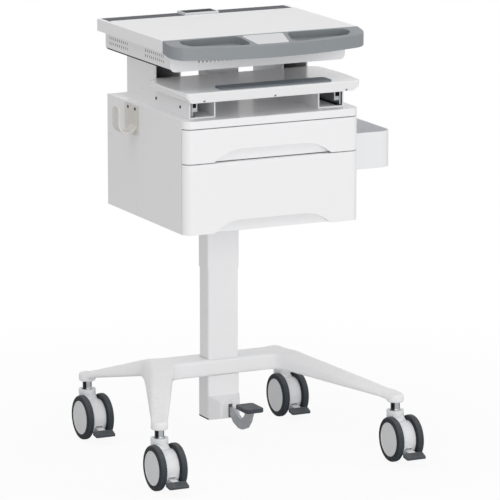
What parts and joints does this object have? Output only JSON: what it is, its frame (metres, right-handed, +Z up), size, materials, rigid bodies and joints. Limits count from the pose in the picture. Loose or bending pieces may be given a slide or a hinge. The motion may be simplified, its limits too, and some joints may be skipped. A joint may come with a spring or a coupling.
{
  "type": "mobile medical workstation",
  "caption": "Height-adjustable hospital trolley with worktop, front handle, sliding keyboard tray, drawer cabinet, side bin and splayed base on braked twin-wheel casters",
  "frame": {"origin": "on the floor, at the middle of the footprint", "axes": "+Z up; front (handle, drawers, pedal) faces -Y; +X is the trolley's right side seen from its front"},
  "size_m": [0.6372, 0.6032, 0.961],
  "materials": {
    "white_paint": "satin powder coat",
    "grey_paint": "satin powder coat",
    "black_paint": "gloss",
    "white_plastic": "fine satin",
    "light_plastic": "fine satin",
    "grey_plastic": "fine texture",
    "rim_plastic": "satin",
    "dark_plastic": "fine texture",
    "black_plastic": "satin",
    "warm_grey_plastic": "satin",
    "tyre_rubber": "matte",
    "grey_rubber": "soft matte",
    "bare_steel": "zinc plated",
    "black_steel": "black oxide",
    "chrome_steel": "polished"
  },
  "bodies": {
    "base": {"base_frame": "white_paint", "column_housing": "white_paint", "housing_cap": "black_plastic", "pedal_hood": "white_paint", "column_tube": "white_paint", "gas_spring_cylinder": "black_paint", "caster_stems": "chrome_steel"},
    "upper": {"column_sleeve": "white_paint", "gas_spring_rod": "bare_steel", "cabinet_shell": "white_paint", "drawer_rails": "bare_steel", "cable_hook": "warm_grey_plastic", "side_bin": "light_plastic", "support_left": "white_paint", "support_right": "white_paint", "tray_rails_fixed": "bare_steel", "equipment_box": "white_paint", "worktop": "white_plastic", "rear_strip": "grey_plastic", "handle": "grey_plastic", "handle_panel": "white_plastic", "port_frame": "light_plastic", "screws": "black_steel"},
    "pedal": {"pedal_lever": "bare_steel", "foot_pad": "dark_plastic"},
    "upper_drawer": {"upper_drawer_front": "white_plastic", "upper_drawer_box": "grey_paint"},
    "lower_drawer": {"lower_drawer_front": "white_plastic", "lower_drawer_box": "grey_paint"},
    "keyboard_slide": {"tray_rails_sliding": "bare_steel", "keyboard_tray": "white_plastic", "wrist_rest": "grey_rubber"},
    "lid": {"port_lid": "black_plastic"},
    "caster_front_left": {"caster_housing_front_left": "light_plastic"},
    "wheel_front_left_outer": {"tyre_front_left_outer": "tyre_rubber", "rim_front_left_outer": "rim_plastic"},
    "wheel_front_left_inner": {"tyre_front_left_inner": "tyre_rubber", "rim_front_left_inner": "rim_plastic"},
    "brake_front_left": {"brake_pedal_front_left": "dark_plastic"},
    "caster_front_right": {"caster_housing_front_right": "light_plastic"},
    "wheel_front_right_inner": {"tyre_front_right_inner": "tyre_rubber", "rim_front_right_inner": "rim_plastic"},
    "wheel_front_right_outer": {"tyre_front_right_outer": "tyre_rubber", "rim_front_right_outer": "rim_plastic"},
    "brake_front_right": {"brake_pedal_front_right": "dark_plastic"},
    "caster_rear_left": {"caster_housing_rear_left": "light_plastic"},
    "wheel_rear_left_outer": {"tyre_rear_left_outer": "tyre_rubber", "rim_rear_left_outer": "rim_plastic"},
    "wheel_rear_left_inner": {"tyre_rear_left_inner": "tyre_rubber", "rim_rear_left_inner": "rim_plastic"},
    "brake_rear_left": {"brake_pedal_rear_left": "dark_plastic"},
    "caster_rear_right": {"caster_housing_rear_right": "light_plastic"},
    "wheel_rear_right_inner": {"tyre_rear_right_inner": "tyre_rubber", "rim_rear_right_inner": "rim_plastic"},
    "wheel_rear_right_outer": {"tyre_rear_right_outer": "tyre_rubber", "rim_rear_right_outer": "rim_plastic"},
    "brake_rear_right": {"brake_pedal_rear_right": "dark_plastic"}
  },
  "joints": [
    {"name": "column_lift", "type": "slide", "parent": "base", "child": "upper", "axis": [0, 0, 1], "range_m": [-0.19, 0.16]},
    {"name": "pedal_hinge", "type": "hinge", "parent": "base", "child": "pedal", "pos_m": [0, 0.05835, 0.083], "axis": [1, 0, 0], "range_deg": [0, 10], "stiffness_Nm_per_rad": 6, "springref_deg": -8.59},
    {"name": "upper_drawer_slide", "type": "slide", "parent": "upper", "child": "upper_drawer", "axis": [0, -1, 0], "range_m": [0, 0.17]},
    {"name": "lower_drawer_slide", "type": "slide", "parent": "upper", "child": "lower_drawer", "axis": [0, -1, 0], "range_m": [0, 0.17]},
    {"name": "keyboard_slide", "type": "slide", "parent": "upper", "child": "keyboard_slide", "axis": [0, -1, 0], "range_m": [0, 0.18]},
    {"name": "lid_hinge", "type": "hinge", "parent": "upper", "child": "lid", "pos_m": [0, 0.22745, 0.9595], "axis": [-1, 0, 0], "range_deg": [0, 95]},
    {"name": "swivel_front_left", "type": "hinge", "parent": "base", "child": "caster_front_left", "pos_m": [-0.2867, -0.19815, 0.1], "axis": [0, 0, 1], "continuous": true},
    {"name": "roll_front_left_outer", "type": "hinge", "parent": "caster_front_left", "child": "wheel_front_left_outer", "pos_m": [-0.2867, -0.22815, 0.05], "axis": [1, 0, 0], "continuous": true},
    {"name": "roll_front_left_inner", "type": "hinge", "parent": "caster_front_left", "child": "wheel_front_left_inner", "pos_m": [-0.2867, -0.22815, 0.05], "axis": [1, 0, 0], "continuous": true},
    {"name": "brake_hinge_front_left", "type": "hinge", "parent": "caster_front_left", "child": "brake_front_left", "pos_m": [-0.2867, -0.24915, 0.027], "axis": [1, 0, 0], "range_deg": [0, 12]},
    {"name": "swivel_front_right", "type": "hinge", "parent": "base", "child": "caster_front_right", "pos_m": [0.2867, -0.19815, 0.1], "axis": [0, 0, 1], "continuous": true},
    {"name": "roll_front_right_inner", "type": "hinge", "parent": "caster_front_right", "child": "wheel_front_right_inner", "pos_m": [0.2867, -0.22815, 0.05], "axis": [1, 0, 0], "continuous": true},
    {"name": "roll_front_right_outer", "type": "hinge", "parent": "caster_front_right", "child": "wheel_front_right_outer", "pos_m": [0.2867, -0.22815, 0.05], "axis": [1, 0, 0], "continuous": true},
    {"name": "brake_hinge_front_right", "type": "hinge", "parent": "caster_front_right", "child": "brake_front_right", "pos_m": [0.2867, -0.24915, 0.027], "axis": [1, 0, 0], "range_deg": [0, 12]},
    {"name": "swivel_rear_left", "type": "hinge", "parent": "base", "child": "caster_rear_left", "pos_m": [-0.2446, 0.28165, 0.1], "axis": [0, 0, 1], "continuous": true},
    {"name": "roll_rear_left_outer", "type": "hinge", "parent": "caster_rear_left", "child": "wheel_rear_left_outer", "pos_m": [-0.2446, 0.25165, 0.05], "axis": [1, 0, 0], "continuous": true},
    {"name": "roll_rear_left_inner", "type": "hinge", "parent": "caster_rear_left", "child": "wheel_rear_left_inner", "pos_m": [-0.2446, 0.25165, 0.05], "axis": [1, 0, 0], "continuous": true},
    {"name": "brake_hinge_rear_left", "type": "hinge", "parent": "caster_rear_left", "child": "brake_rear_left", "pos_m": [-0.2446, 0.23065, 0.027], "axis": [1, 0, 0], "range_deg": [0, 12]},
    {"name": "swivel_rear_right", "type": "hinge", "parent": "base", "child": "caster_rear_right", "pos_m": [0.2446, 0.28165, 0.1], "axis": [0, 0, 1], "continuous": true},
    {"name": "roll_rear_right_inner", "type": "hinge", "parent": "caster_rear_right", "child": "wheel_rear_right_inner", "pos_m": [0.2446, 0.25165, 0.05], "axis": [1, 0, 0], "continuous": true},
    {"name": "roll_rear_right_outer", "type": "hinge", "parent": "caster_rear_right", "child": "wheel_rear_right_outer", "pos_m": [0.2446, 0.25165, 0.05], "axis": [1, 0, 0], "continuous": true},
    {"name": "brake_hinge_rear_right", "type": "hinge", "parent": "caster_rear_right", "child": "brake_rear_right", "pos_m": [0.2446, 0.23065, 0.027], "axis": [1, 0, 0], "range_deg": [0, 12]}
  ]
}
